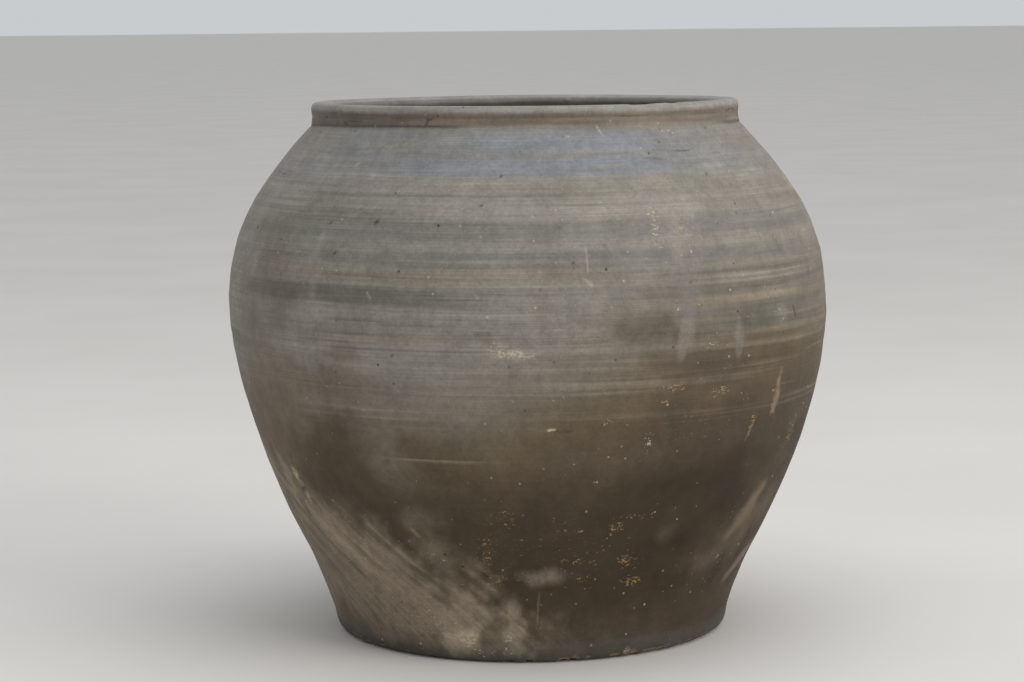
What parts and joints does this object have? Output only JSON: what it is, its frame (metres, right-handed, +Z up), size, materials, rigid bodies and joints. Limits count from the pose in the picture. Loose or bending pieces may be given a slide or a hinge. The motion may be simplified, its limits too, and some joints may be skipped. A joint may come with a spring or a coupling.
{
  "type": "clay storage jar",
  "caption": "Wide-bellied black clay pot with a flat foot, a rounded shoulder and a short thick-lipped neck, coil-built from a slab base and luted wall courses.",
  "frame": {"origin": "centre of the flat foot, on the surface that the pot stands on", "axes": "+Z up along the pot's axis; -Y is the side that faces the viewer and +X is the viewer's right"},
  "size_m": [0.4018, 0.4018, 0.3554],
  "materials": {
    "banded_clay": "matt reduction-fired clay with horizontal wheel marks and slate-grey bands",
    "scraped_clay": "matt reduction-fired clay, scraped smooth, dark olive brown with pale scuffs",
    "lip_clay": "matt fired clay rubbed pale along the lip",
    "foot_clay": "matt fired clay, dusty and chipped at the edge",
    "inner_clay": "matt dark fired clay with finger marks"
  },
  "bodies": {
    "root": {"base_slab": "foot_clay", "corner_coil": "inner_clay", "wall_course_1": "scraped_clay", "wall_course_2": "scraped_clay", "wall_course_3": "scraped_clay", "wall_course_4": "banded_clay", "wall_course_5": "banded_clay", "wall_course_6": "banded_clay", "wall_course_7": "banded_clay", "neck_coil": "lip_clay", "lip_coil": "lip_clay"}
  },
  "joints": []
}
